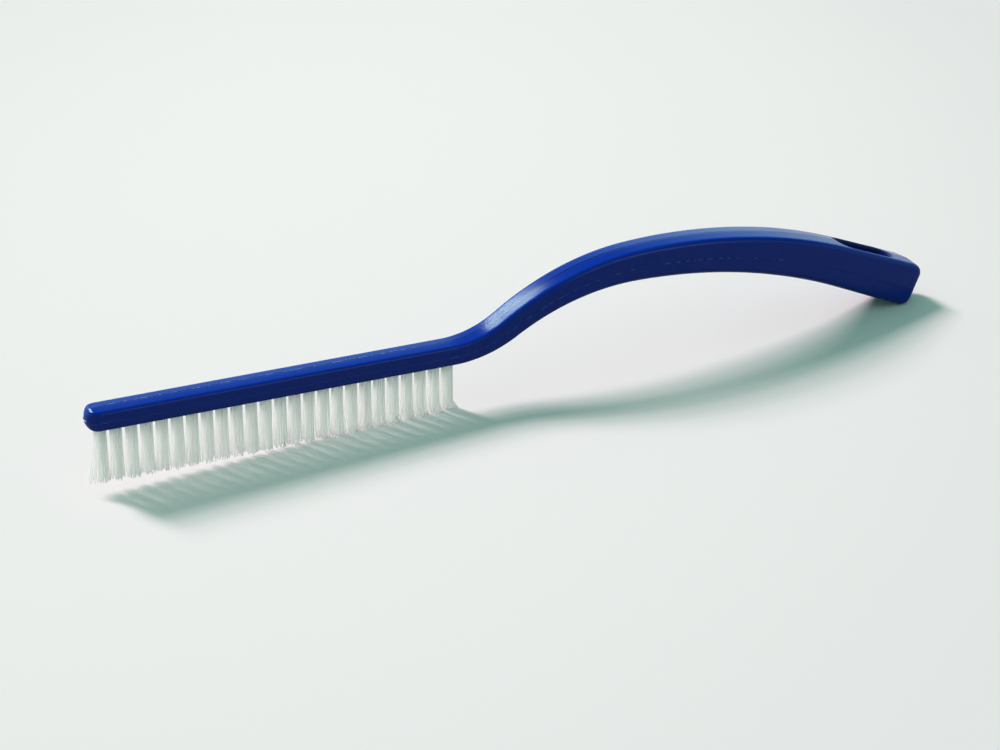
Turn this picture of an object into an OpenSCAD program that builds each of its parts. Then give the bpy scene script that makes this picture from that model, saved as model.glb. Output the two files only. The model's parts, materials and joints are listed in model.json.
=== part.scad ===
// Crevice brush: a one-piece moulded handle whose narrow head carries a
// single row of bristle tufts. Each tuft is folded round a flat wire anchor
// and driven into its own blind hole. The brush lies as it is put down: on
// the bristles at the heel of the head and on the far end of the handle.
//
// Lengths are in millimetres. The handle is drawn in the head's own frame
// (nose tip at x = 0, underside of the head at z = 0, handle towards +X), and
// the whole brush is then tilted and lifted onto the surface z = 0.

/* [Bristles] */
// Number of tufts in the single row
tuft_count = 25; // [20:1:27]
// Distance from one tuft to the next
tuft_pitch = 5; // [4.8:0.1:5.4]
// Diameter of the hole that holds a tuft
hole_d = 4; // [3.6:0.1:4.1]
// Depth of the hole that holds a tuft
hole_depth = 4.5; // [4.2:0.1:5]
// Gap between a tuft's packed root and the wall of its hole
root_gap = 0.05; // [0.02:0.01:0.1]
// Length of bristle that stands out of the head
bristle_len = 17.9; // [12:0.1:24]
// Strands in the inner ring of a tuft
inner_strands = 5; // [4:1:6]
// Strands in the outer ring of a tuft
outer_strands = 10; // [8:1:11]
// Half the width across the corners of one square strand
strand_r = 0.32; // [0.2:0.02:0.34]
// How much wider a tuft is at its tips than at its root
tip_spread = 1.16; // [1:0.01:1.2]
// Extra lean of the outermost bristles at the nose and at the heel
end_splay = 1.1; // [0:0.1:1.5]
// Difference between the longest and the shortest strand
tip_unevenness = 0.5; // [0:0.1:1]
// Depth to which the heel bristles are pressed flat on the surface
heel_press = 0.5; // [0.3:0.1:0.6]

/* [Anchors] */
// Thickness of the flat anchor wire
anchor_t = 0.35; // [0.25:0.05:0.5]
// Length of an anchor, which bites into both walls of its hole
anchor_len = 4.7; // [4.4:0.1:5.4]
// Height of an anchor
anchor_h = 1.5; // [1:0.1:2]
// Thickness of the bristle fold between an anchor and the hole's floor
fold_t = 0.6; // [0.4:0.1:0.8]

/* [Head] */
// Distance from the nose tip to the centre of the first tuft
nose_margin = 4.7; // [4.6:0.1:6]
// Width of the head
head_w = 9; // [8.4:0.1:10]
// Height of the head at the nose
nose_h = 6.7; // [6.4:0.1:8]
// Height of the head where the neck begins
neck_h = 7.1; // [6.6:0.1:8.4]
// Radius of the head's long edges
head_edge_r = 1.2; // [0.8:0.1:2]
// Radius of the nose seen from the side
nose_profile_r = 2.7; // [1.5:0.1:3.1]
// How far before the last tuft's centre the underside starts to rise
neck_setback = 0.5; // [0:0.5:3]

/* [Handle] */
// Radius of the bend that lifts the neck off the head
rise_r = 41; // [38:1:50]
// Angle through which the neck rises
rise_turn = 33.3; // [31:0.1:35]
// Radius of the bend over the front of the crest
crest_r = 94; // [88:1:104]
// Angle through which the handle turns over the crest
crest_turn = 31; // [30:0.1:32]
// Radius of the long bow of the grip
bow_r = 222; // [210:1:240]
// Angle through which the grip bows down
bow_turn = 23.1; // [22:0.1:24]
// Length of the straight end of the grip
end_len = 37.8; // [34:0.1:44]
// Height of the handle half way up the neck
wrist_h = 8.8; // [8.2:0.1:9.6]
// Width of the handle half way up the neck
wrist_w = 10.6; // [9.8:0.1:11]
// Height of the handle on the crest
crest_h = 11.9; // [11:0.1:12.8]
// Width of the handle on the crest
crest_w = 12.7; // [12:0.1:13.4]
// Height of the handle in the palm
palm_h = 14.4; // [13.6:0.1:15.4]
// Width of the handle in the palm
palm_w = 14.1; // [13.4:0.1:14.8]
// Height of the handle at its end
end_h = 16.4; // [15.6:0.1:17.2]
// Width of the handle at its end
end_w = 15; // [14.2:0.1:16]
// Radius of the grip's long edges
grip_edge_r = 2; // [1.5:0.1:2.6]

/* [Handle end] */
// Length over which the end rounds off seen from above
end_plan_r = 4.2; // [3:0.1:6]
// Squareness of the end seen from above, where 2 is a half circle
end_squareness = 2.6; // [2:0.1:3]
// Radius of the end's upper corner seen from the side
end_top_r = 6; // [4:0.5:7]
// Radius of the end's lower corner, which touches the surface
end_bottom_r = 5.8; // [5:0.1:8]

/* [Hang slot] */
// Length of the hang slot
slot_len = 26; // [22:1:28]
// Width of the hang slot
slot_w = 10.2; // [8:0.1:10.6]
// Distance from the middle of the hang slot to the end of the handle
slot_from_end = 28.1; // [26:0.1:30]

/* [Hidden] */
function two_digits(i) = i < 10 ? str("0", i) : str(i);
function tuft_name(i) = str("tuft_", two_digits(i));
function anchor_name(i) = str("anchor_", two_digits(i));

// Colours as the photograph shows them
body_colour = "#14317e";
bristle_colour = "#eef1ea";
anchor_colour = "#c9ccd0";

// Places along the row of tufts
function tuft_x(i) = nose_margin + (i - 1) * tuft_pitch;
last_tuft_x = tuft_x(tuft_count);
neck_s = last_tuft_x - neck_setback;

// Centre line of the side profile, as stretches of [length, turn in degrees]
function arc_len(r, turn) = r * turn * PI / 180;
stretches = [
    [neck_s, 0],
    [arc_len(rise_r, rise_turn), rise_turn],
    [arc_len(crest_r, crest_turn), -crest_turn],
    [arc_len(bow_r, bow_turn), -bow_turn],
    [end_len, 0]];
function run_to(k) = k == 0 ? 0 : run_to(k - 1) + stretches[k - 1][0];
total_s = run_to(len(stretches));
start_pose = [0, nose_h / 2, 0];

// A pose is [x, z, heading]. It moves on by length s while it turns by t.
function moved(pose, s, t) =
    t == 0
    ? [pose.x + s * cos(pose.z), pose.y + s * sin(pose.z), pose.z]
    : let (r = s / (t * PI / 180), a = pose.z, b = pose.z + t)
        [pose.x + r * (sin(b) - sin(a)), pose.y - r * (cos(b) - cos(a)), b];
function stretch_start(k) =
    k == 0
    ? start_pose
    : moved(stretch_start(k - 1), stretches[k - 1][0], stretches[k - 1][1]);
stretch_starts = [for (k = [0 : len(stretches) - 1]) stretch_start(k)];
function stretch_of(s, k = 0) =
    k == len(stretches) - 1 || s < run_to(k + 1) ? k : stretch_of(s, k + 1);
function pose_at(s) =
    let (k = stretch_of(s), part = (s - run_to(k)) / stretches[k][0])
        moved(stretch_starts[k], s - run_to(k), stretches[k][1] * part);

// Stations along the centre line at which height and width are given, each as
// a share of the run from the neck to the tip of the handle
wrist_share = 0.18;
crest_share = 0.43;
palm_share = 0.67;
tail_share = 0.94;
grip_s = total_s - neck_s;
wrist_s = neck_s + wrist_share * grip_s;
crest_s = neck_s + crest_share * grip_s;
palm_s = neck_s + palm_share * grip_s;
tail_s = neck_s + tail_share * grip_s;
function above_line(s) = lookup(s, [
    [0, nose_h / 2],
    [neck_s, neck_h - nose_h / 2],
    [wrist_s, wrist_h / 2],
    [crest_s, crest_h / 2],
    [palm_s, palm_h / 2],
    [tail_s, end_h / 2]]);
function below_line(s) = lookup(s, [
    [neck_s, nose_h / 2],
    [wrist_s, wrist_h / 2],
    [crest_s, crest_h / 2],
    [palm_s, palm_h / 2],
    [tail_s, end_h / 2]]);
function half_width(s) = lookup(s, [
    [neck_s, head_w / 2],
    [wrist_s, wrist_w / 2],
    [crest_s, crest_w / 2],
    [palm_s, palm_w / 2],
    [tail_s, end_w / 2]]);
function edge_r(s) = lookup(s, [
    [neck_s, head_edge_r],
    [crest_s, grip_edge_r]]);

// Rounding of the two ends, d being the distance from the tip
function corner_inset(d, r) = d >= r ? 0 : r - sqrt(r * r - (r - d) * (r - d));
function plan_share(d, r, n) =
    d >= r ? 1 : pow(1 - pow(1 - d / r, n), 1 / n);
nose_r = head_w / 2;

// One cross-section: a rounded rectangle at distance s along the centre line.
// Near the tips its corner radius is held to a share of its width and height.
corner_steps = 5;
most_of_width = 0.9;
most_of_height = 0.45;
function cross_section(s) =
    let (
        d_nose = s,
        d_end = total_s - s,
        hw = half_width(s)
            * plan_share(d_nose, nose_r, 2)
            * plan_share(d_end, end_plan_r, end_squareness),
        top = above_line(s)
            - corner_inset(d_nose, nose_profile_r)
            - corner_inset(d_end, end_top_r),
        bottom = -below_line(s)
            + corner_inset(d_nose, nose_profile_r)
            + corner_inset(d_end, end_bottom_r),
        r = min(edge_r(s), most_of_width * hw, most_of_height * (top - bottom)))
    [for (corner = [[1, 1, 0], [-1, 1, 90], [-1, -1, 180], [1, -1, 270]])
        for (step = [0 : corner_steps])
            let (
                a = corner.z + 90 * step / corner_steps,
                cy = corner.x * (hw - r),
                cz = corner.y > 0 ? top - r : bottom + r)
            [cy + r * cos(a), cz + r * sin(a)]];
function placed_section(s) =
    let (pose = pose_at(s))
    [for (p = cross_section(s))
        [pose.x - p.y * sin(pose.z), p.x, pose.y + p.y * cos(pose.z)]];

// Distances along the centre line at which the cross-section is drawn. They
// close up towards the tips, at even angles round each tip's curve.
tip_step = 13;
nose_stations = concat([for (a = [tip_step : tip_step : 90]) nose_r * (1 - cos(a))], [nose_r]);
rise_steps = 11;
crest_steps = 10;
bow_steps = 10;
end_curve = max(end_top_r, end_bottom_r);
bend_stations = [
    for (k = [[1, rise_steps], [2, crest_steps], [3, bow_steps]])
        for (step = [0 : k.y - 1])
            run_to(k.x) + stretches[k.x][0] * step / k.y];
end_stations = [
    for (a = [90 - tip_step / 2 : -tip_step / 2 : tip_step])
        total_s - end_curve * (1 - cos(a))];
bow_end = run_to(len(stretches) - 1);
stations = concat(
    nose_stations, bend_stations, [bow_end, total_s - end_curve], end_stations);
sections = [for (s = stations) placed_section(s)];
ring_points = len(sections[0]);
handle_points = [for (section = sections) for (p = section) p];

// Triangles of the skin between sections, and of the two end faces
function skin_pair(j, i) =
    let (
        next = (i + 1) % ring_points,
        a = j * ring_points + i,
        b = j * ring_points + next,
        c = a + ring_points,
        d = b + ring_points)
    [[a, b, c], [b, d, c]];
last_ring = (len(sections) - 1) * ring_points;
handle_faces = concat(
    [for (j = [0 : len(sections) - 2])
        for (i = [0 : ring_points - 1])
            for (face = skin_pair(j, i)) face],
    [for (i = [1 : ring_points - 2]) [0, i + 1, i]],
    [for (i = [1 : ring_points - 2]) [last_ring, last_ring + i, last_ring + i + 1]]);

// How the brush rests: the surface touches the pressed heel tips and is
// tangent to the underside of the handle's end
heel_tip_x = last_tuft_x + tip_spread * hole_d / 2;
heel_tip_z = heel_press - bristle_len;
rest_tilt = min([
    for (p = handle_points)
        if (p.x > last_tuft_x + hole_d)
            atan2(p.z - heel_tip_z, p.x - heel_tip_x)]);
rest_lift = heel_tip_x * sin(rest_tilt) - heel_tip_z * cos(rest_tilt);
tilted_x = [for (p = handle_points) p.x * cos(rest_tilt) + p.z * sin(rest_tilt)];
middle_x = (min(tilted_x) + max(tilted_x)) / 2;
module at_rest() {
    translate([-middle_x, 0, rest_lift])
        rotate([0, rest_tilt, 0])
            children();
}

// Anchor of tuft i, which is also the shape of the kerf it sits in
anchor_top = hole_depth - fold_t;
module anchor_shape(i) {
    translate([tuft_x(i) - anchor_t / 2, -anchor_len / 2, anchor_top - anchor_h])
        cube([anchor_t, anchor_len, anchor_h]);
}

// Blind hole of tuft i
hole_mouth = 1;
hole_facets = 48;
module tuft_hole(i) {
    translate([tuft_x(i), 0, -hole_mouth])
        cylinder(h = hole_depth + hole_mouth, d = hole_d, $fn = hole_facets);
}

// Hang slot, cut square to the handle's centre line
slot_s = total_s - slot_from_end;
slot_pose = pose_at(slot_s);
slot_h = above_line(slot_s) + below_line(slot_s);
slot_reach = 2 * end_h;
slot_facets = 64;
module hang_slot() {
    half_run = (slot_len - slot_w) / 2;
    translate([slot_pose.x, 0, slot_pose.y])
        rotate([0, -slot_pose.z, 0]) {
            translate([-half_run, -slot_w / 2, -slot_reach / 2])
                cube([2 * half_run, slot_w, slot_reach]);
            for (side = [-1, 1])
                translate([side * half_run, 0, -slot_reach / 2])
                    cylinder(h = slot_reach, d = slot_w, $fn = slot_facets);
        }
}

module handle_body() {
    color(body_colour)
        at_rest()
            difference() {
                polyhedron(points = handle_points, faces = handle_faces, convexity = 8);
                for (i = [1 : tuft_count]) {
                    tuft_hole(i);
                    anchor_shape(i);
                }
                hang_slot();
            }
}

// A square strand from a root centre to a tip centre
strand_sides = 4;
strand_corners = [
    for (i = [0 : strand_sides - 1])
        let (a = 360 * (i + 0.5) / strand_sides)
        strand_r * [cos(a), sin(a), 0]];
function strand_side(i) =
    let (next = (i + 1) % strand_sides)
    [[i, next, i + strand_sides], [next, next + strand_sides, i + strand_sides]];
strand_faces = concat(
    [for (i = [0 : strand_sides - 1]) for (face = strand_side(i)) face],
    [for (i = [1 : strand_sides - 2]) [0, i + 1, i]],
    [for (i = [1 : strand_sides - 2]) [0, i, i + 1] + strand_sides * [1, 1, 1]]);
module strand(root, tip) {
    polyhedron(
        points = concat(
            [for (c = strand_corners) root + c],
            [for (c = strand_corners) tip + c]),
        faces = strand_faces);
}

// Where strand k of a tuft stands, in the plane of its hole's mouth
root_r = hole_d / 2 - root_gap;
rim_margin = 0.04;
outer_ring_r = root_r - strand_r - rim_margin;
inner_ring_r = outer_ring_r / 2;
strands_per_tuft = 1 + inner_strands + outer_strands;
function strand_place(k) =
    k == 0
    ? [0, 0]
    : k <= inner_strands
    ? inner_ring_r * [cos(360 * k / inner_strands), sin(360 * k / inner_strands)]
    : outer_ring_r * [cos(360 * (k + 0.5) / outer_strands), sin(360 * (k + 0.5) / outer_strands)];

// A repeatable scatter between 0 and 1 for strand k of tuft i
golden = 0.618034;
scatter_start = 3;
function scatter(i, k) = let (v = golden * (k + 1) * (i + scatter_start)) v - floor(v);

// Outward lean of the bristles at the nose, and a smaller one at the heel
heel_share = 0.5;
function lean(i, place) =
    i == 1 && place.x < 0
    ? end_splay * place.x / outer_ring_r
    : i == tuft_count && place.x > 0
    ? heel_share * end_splay * place.x / outer_ring_r
    : 0;

root_overlap = 0.3;
module tuft(i) {
    color(bristle_colour)
        difference() {
            at_rest()
                union() {
                    difference() {
                        translate([tuft_x(i), 0, 0])
                            cylinder(h = hole_depth, r = root_r, $fn = hole_facets);
                        anchor_shape(i);
                    }
                    for (k = [0 : strands_per_tuft - 1]) {
                        place = strand_place(k);
                        length = bristle_len - tip_unevenness * scatter(i, k);
                        strand(
                            [tuft_x(i) + place.x, place.y, root_overlap],
                            [tuft_x(i) + place.x * tip_spread + lean(i, place),
                                place.y * tip_spread, -length]);
                    }
                }
            translate([-total_s, -head_w, -bristle_len])
                cube([2 * total_s, 2 * head_w, bristle_len]);
        }
}

module anchor(i) {
    color(anchor_colour)
        at_rest()
            anchor_shape(i);
}

echo(rest_tilt = rest_tilt, rest_lift = rest_lift, middle_x = middle_x);
echo(slot_pose = slot_pose, slot_len = slot_len, slot_w = slot_w, slot_h = slot_h);
echo(last_tuft_x = last_tuft_x, total_s = total_s);

handle_body();
for (i = [1 : tuft_count]) tuft(i);
for (i = [1 : tuft_count]) anchor(i);
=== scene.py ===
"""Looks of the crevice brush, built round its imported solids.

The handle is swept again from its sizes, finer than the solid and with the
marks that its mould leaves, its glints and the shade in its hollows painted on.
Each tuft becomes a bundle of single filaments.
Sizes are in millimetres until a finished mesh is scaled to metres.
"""

import json
import math

import bpy
from mathutils import Matrix, Vector

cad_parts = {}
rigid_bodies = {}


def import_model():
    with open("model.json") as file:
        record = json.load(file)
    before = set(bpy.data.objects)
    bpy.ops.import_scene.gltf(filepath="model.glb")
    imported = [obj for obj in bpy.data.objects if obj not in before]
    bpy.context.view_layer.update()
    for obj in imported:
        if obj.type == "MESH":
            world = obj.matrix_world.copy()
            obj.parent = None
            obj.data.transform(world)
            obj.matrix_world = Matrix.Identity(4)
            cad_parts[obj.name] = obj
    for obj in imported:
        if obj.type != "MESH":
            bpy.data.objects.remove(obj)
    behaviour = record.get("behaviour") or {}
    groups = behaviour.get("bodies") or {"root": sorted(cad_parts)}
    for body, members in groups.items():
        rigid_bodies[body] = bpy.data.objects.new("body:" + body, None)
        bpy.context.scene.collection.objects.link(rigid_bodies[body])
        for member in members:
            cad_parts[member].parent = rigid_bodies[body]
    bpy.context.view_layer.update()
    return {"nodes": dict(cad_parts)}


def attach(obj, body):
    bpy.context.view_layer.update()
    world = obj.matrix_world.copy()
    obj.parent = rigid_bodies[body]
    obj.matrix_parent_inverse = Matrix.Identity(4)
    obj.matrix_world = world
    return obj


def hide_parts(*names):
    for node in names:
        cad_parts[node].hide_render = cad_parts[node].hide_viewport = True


MM = 0.001

# The brush's sizes, as its solids have them
TUFTS = 25
TUFT_PITCH = 5.0
FIRST_TUFT = 4.7
HOLE_WIDTH = 4.0
HOLE_DEPTH = 4.5
FOLD_THICKNESS = 0.6
BRISTLE_LENGTH = 17.9
HEAD_WIDTH = 9.0
NOSE_HEIGHT = 6.7
NECK_HEIGHT = 7.1
HEAD_EDGE = 1.2
NOSE_ROUND = 2.7
END_LENGTH = 37.8
GRIP_EDGE = 2.0
END_PLAN_ROUND = 4.2
END_SQUARENESS = 2.6
END_TOP_ROUND = 6.0
END_BOTTOM_ROUND = 5.8
SLOT_LENGTH = 26.0
SLOT_WIDTH = 10.2
SLOT_FROM_END = 28.1

# Radius, and turn in degrees with upwards positive, of the rise, crest and bow
BENDS = [(41.0, 33.3), (94.0, -31.0), (222.0, -23.1)]

# The seam round the sides: the share of the side's height that is below it, the
# share that its foot takes on each side, and how far it stands out
SEAM_RISE = 0.43
SEAM_FOOT = 0.016
SEAM_HEIGHT = 0.05
# Round the nose it stands out by this many seam heights more, its feet by this
# many, and it has this share of the full paler paint, which is wear and a painted glint
NOSE_SEAM = 2.6
NOSE_FOOT = 2.8
NOSE_WEAR_AND_GLINT = 0.7
# The share of the full paler paint, wear and painted glint, on the rest of the head
HEAD_WEAR_AND_GLINT = 0.12

# The line along the top: where its bottom and its foot end and where the painted
# glints beside it lie, as shares of half the flat top's width, and its depth
LINE_EDGE = 0.045
LINE_FOOT = 0.08
GLINT_ROW_ACROSS = 0.13
LINE_DEPTH = 0.02

# How far the top falls for each millimetre from its middle, on the head
TOP_SLOPE = 0.045
# How far the hang slot's edges are rounded
SLOT_RIM = 0.9
# Sides of the round holes, which are finer than the eye can tell
HOLE_SIDES = 32

# The filaments, as they are drawn
FILAMENT_WIDTH = 0.3
FILAMENT_SPACING = 0.37
FILAMENT_SIDES = 5
FILAMENT_BEADS = 7
# They start at the top of their anchor, which their fold lifts off the hole's floor
ROOT_DEPTH = HOLE_DEPTH - FOLD_THICKNESS
# How far the longest pass the bristle length, and how much shorter some are
TIP_EXCESS = 1.6
TIP_UNEVENNESS = 1.1
# The share by which a tuft widens to its tips, and how far a single tip strays
TIP_SPREAD = 0.28
TIP_STRAYING = 0.3
# How late a filament bends, where 1 is evenly from the root
BEND_POWER = 1.6
# Which way, and how strongly, the outer ones of the end tufts lean
END_LEANS = {1: (-1.0, 0.0, 0.0), TUFTS: (0.3, 0.0, 0.0)}
# How far a tip slides along the table for each millimetre that it is too long
SLIDE = 0.9
FIRST_SEED = 41

# The photograph's viewpoint: its heading from +X, dip and roll in degrees, its
# place, and the focal length and the photograph's width in pixels
VIEW_HEADING = 63.2891
VIEW_DIP = 27.0034
VIEW_ROLL = -0.7333
VIEW_PLACE = (-289.4579, -545.6364, 318.8018)
FOCAL_PIXELS = 2000
PHOTO_PIXELS = 1000

# Where the brush lies: its tilt, and the place of the nose's underside
REST_TILT = math.radians(2.83788)
REST_LIFT = 23.6674
REST_MIDDLE = 159.359

LAST_TUFT = FIRST_TUFT + (TUFTS - 1) * TUFT_PITCH
NECK = LAST_TUFT - 0.5


def at_rest(x, y, z):
    """A point of the brush with its head level, moved to where it lies."""
    c, s = math.cos(REST_TILT), math.sin(REST_TILT)
    return Vector((x * c + z * s - REST_MIDDLE, y, z * c - x * s + REST_LIFT))


# The run of the handle

# Length and turn of each stretch, from the nose
ARCS = [(NECK, 0.0)]
ARCS += [(math.radians(abs(turn)) * radius, turn) for radius, turn in BENDS]
ARCS += [(END_LENGTH, 0.0)]
HANDLE_RUN = sum(length for length, _ in ARCS)
GRIP_RUN = HANDLE_RUN - NECK

# Share of the grip's run, height and width at its measured stations: at the
# neck, the wrist, the crest, the palm and the end
GRIP_STATIONS = [
    (0.0, None, HEAD_WIDTH),
    (0.18, 8.8, 10.6),
    (0.43, 11.9, 12.7),
    (0.67, 14.4, 14.1),
    (0.94, 16.4, 15.0),
]


def centre_line(run):
    """Point (x, z) and heading of the centre line at a distance from the nose."""
    x, z, heading = 0.0, NOSE_HEIGHT / 2, 0.0
    for index, (length, turn) in enumerate(ARCS):
        last = index == len(ARCS) - 1
        step = run if last else min(run, length)
        bend = math.radians(turn) * step / length
        if turn == 0.0:
            x += step * math.cos(heading)
            z += step * math.sin(heading)
        else:
            radius = length / math.radians(turn)
            x += radius * (math.sin(heading + bend) - math.sin(heading))
            z -= radius * (math.cos(heading + bend) - math.cos(heading))
        heading += bend
        run -= step
        if run <= 0 and not last:
            break
    return x, z, heading


def between(run, stops):
    """Straight-line value between stops of (distance, value)."""
    if run <= stops[0][0]:
        return stops[0][1]
    for (a, low), (b, high) in zip(stops, stops[1:]):
        if run <= b:
            return low + (high - low) * (run - a) / (b - a)
    return stops[-1][1]


RUNS = [NECK + share * GRIP_RUN for share, _, _ in GRIP_STATIONS]
WRIST, CREST, PALM = RUNS[1:4]
HALF_HEIGHTS = [(run, h / 2) for run, (_, h, _) in zip(RUNS[1:], GRIP_STATIONS[1:])]
ABOVE = [(0.0, NOSE_HEIGHT / 2), (NECK, NECK_HEIGHT - NOSE_HEIGHT / 2)] + HALF_HEIGHTS
BELOW = [(NECK, NOSE_HEIGHT / 2)] + HALF_HEIGHTS
HALF_WIDTHS = [(run, w / 2) for run, (_, _, w) in zip(RUNS, GRIP_STATIONS)]
EDGES = [(NECK, HEAD_EDGE), (CREST, GRIP_EDGE)]
# The top slopes more in the palm
SLOPES = [(WRIST, TOP_SLOPE), (PALM, 1.7 * TOP_SLOPE)]

# Where the mould's marks and their painted glints fade: each is absent at its first
# distance from the nose and whole at its second
LINE_FRONT = (4.0, 7.0)
LINE_BACK = (PALM, PALM - 25.0)
NOSE_MARKS = (7.5, 5.0)
SCUFFS_AND_GLINTS_FRONT = (NECK - 8.0, NECK + 2.0)
SCUFFS_AND_GLINTS_BACK = (PALM + 12.0, PALM - 8.0)
GLINT_ROW_BACK = (NECK, NECK - 20.0)
NOSE_TIP = (HEAD_WIDTH / 2, 0.0)


def fade(run, stretch):
    """Share that grows from 0 to 1 along a stretch, which may point backwards."""
    start, end = stretch
    return min(max((run - start) / (end - start), 0.0), 1.0)


def corner_inset(distance, radius):
    """How far a rounded corner stands back at a distance from the tip."""
    if distance >= radius:
        return 0.0
    return radius - math.sqrt(radius ** 2 - (radius - distance) ** 2)


def plan_share(distance, radius, squareness):
    """Share of the full width left at a distance from a rounded tip."""
    if distance >= radius:
        return 1.0
    return (1 - (1 - distance / radius) ** squareness) ** (1 / squareness)


def section_sizes(run):
    """Half width, top, bottom and edge radius of the handle's section."""
    from_end = HANDLE_RUN - run
    half = (
        between(run, HALF_WIDTHS)
        * plan_share(run, HEAD_WIDTH / 2, 2)
        * plan_share(from_end, END_PLAN_ROUND, END_SQUARENESS)
    )
    top = (
        between(run, ABOVE)
        - corner_inset(run, NOSE_ROUND)
        - corner_inset(from_end, END_TOP_ROUND)
    )
    bottom = (
        -between(run, BELOW)
        + corner_inset(run, NOSE_ROUND)
        + corner_inset(from_end, END_BOTTOM_ROUND)
    )
    # At the two ends the edge's radius shrinks with the section
    edge = min(between(run, EDGES), 0.9 * half, 0.45 * (top - bottom))
    return half, top, bottom, edge


def round_depth(radius, degrees):
    """Distance from the tip of a rounded end to a point at an angle of its round."""
    return radius * (1 - math.cos(math.radians(degrees)))


def handle_runs():
    """Distances from the nose at which the handle gets a section."""
    spacing = 1.1
    tail_round = max(END_TOP_ROUND, END_BOTTOM_ROUND)
    nose = [round_depth(HEAD_WIDTH / 2, degrees) for degrees in range(4, 91, 6)]
    tail = [HANDLE_RUN - round_depth(tail_round, degrees) for degrees in range(90, 3, -5)]
    first, last = nose[-1], tail[0]
    count = round((last - first) / spacing)
    middle = [first + (last - first) * k / count for k in range(1, count)]
    return nose + middle + tail


# Nodes


def add_node(tree, kind, inputs=None, **settings):
    """Adds one node, with its settings, its values and the links into it."""
    node = tree.nodes.new(kind)
    for name, value in settings.items():
        setattr(node, name, value)
    for socket, value in (inputs or {}).items():
        target = node.inputs[socket]
        if isinstance(value, bpy.types.NodeSocket):
            tree.links.new(value, target)
        else:
            target.default_value = value
    return node


def new_tree(name, sockets):
    """An empty geometry tree with a geometry in and out and the named inputs."""
    tree = bpy.data.node_groups.new(name, "GeometryNodeTree")
    tree.interface.new_socket("Geometry", in_out="INPUT", socket_type="NodeSocketGeometry")
    for label, kind in sockets:
        tree.interface.new_socket(label, in_out="INPUT", socket_type="NodeSocket" + kind)
    tree.interface.new_socket("Geometry", in_out="OUTPUT", socket_type="NodeSocketGeometry")
    return tree, tree.nodes.new("NodeGroupInput"), tree.nodes.new("NodeGroupOutput")


def finish_tree(tree, outside, shape, material, crease=None):
    """Hands a tree's shape out in metres, in its material and shaded smooth.

    Edges that turn by more than the crease, in degrees, stay crisp.
    """
    in_metres = add_node(
        tree, "GeometryNodeTransform", {"Geometry": shape, "Scale": (MM, MM, MM)}
    )
    shaded = add_node(
        tree, "GeometryNodeSetShadeSmooth", {"Geometry": in_metres.outputs["Geometry"]}
    )
    if crease is not None:
        bend = add_node(tree, "GeometryNodeInputMeshEdgeAngle")
        creased = add_node(
            tree, "FunctionNodeCompare",
            {0: bend.outputs["Unsigned Angle"], 1: math.radians(crease)},
            operation="GREATER_THAN",
        )
        shaded = add_node(
            tree, "GeometryNodeSetShadeSmooth",
            {"Geometry": shaded.outputs["Geometry"], "Selection": creased.outputs["Result"],
             "Shade Smooth": False},
            domain="EDGE",
        )
    whole = add_node(
        tree, "GeometryNodeRealizeInstances", {"Geometry": shaded.outputs["Geometry"]}
    )
    coloured = add_node(
        tree, "GeometryNodeSetMaterial",
        {"Geometry": whole.outputs["Geometry"], "Material": material},
    )
    tree.links.new(coloured.outputs["Geometry"], outside.inputs["Geometry"])


def mesh_from_tree(name, tree, base, values):
    """Runs a geometry tree on a base mesh and keeps the result as a plain mesh."""
    maker = bpy.data.objects.new(name + "_maker", base)
    bpy.context.scene.collection.objects.link(maker)
    modifier = maker.modifiers.new("shape", "NODES")
    modifier.node_group = tree
    for item in tree.interface.items_tree:
        if item.in_out == "INPUT" and item.name in values:
            modifier[item.identifier] = values[item.name]
    graph = bpy.context.evaluated_depsgraph_get()
    mesh = bpy.data.meshes.new_from_object(maker.evaluated_get(graph), depsgraph=graph)
    mesh.name = name
    maker.modifiers.clear()
    bpy.data.objects.remove(maker)
    return mesh


def link_piece(name, mesh):
    """A finished piece: its object at the origin, its place in its mesh."""
    piece = bpy.data.objects.new(name, mesh)
    bpy.context.scene.collection.objects.link(piece)
    return piece


# Materials


def paint(hex_colour):
    """An sRGB hex colour as the linear colour that nodes take."""
    parts = [int(hex_colour[i : i + 2], 16) / 255 for i in (1, 3, 5)]
    linear = [c / 12.92 if c <= 0.04045 else ((c + 0.055) / 1.055) ** 2.4 for c in parts]
    return (*linear, 1.0)


def pattern_scale(size):
    """The scale of a texture whose features have a size in millimetres."""
    return 1 / (size * MM)


def new_material(name):
    """An empty material and its node tree."""
    material = bpy.data.materials.new(name)
    material.use_nodes = True
    tree = material.node_tree
    tree.nodes.clear()
    return material, tree


def shown_rays(tree):
    """The kinds of ray, and 1 for rays that the eye sees by, 0 for rays that only light."""
    ray = add_node(tree, "ShaderNodeLightPath").outputs
    seen = add_node(
        tree, "ShaderNodeMath", {0: ray["Is Camera Ray"], 1: ray["Is Glossy Ray"]},
        operation="MAXIMUM",
    )
    seen_through = add_node(
        tree, "ShaderNodeMath", {0: seen.outputs[0], 1: ray["Is Transmission Ray"]},
        operation="MAXIMUM",
    )
    return ray, seen_through.outputs[0]


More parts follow.
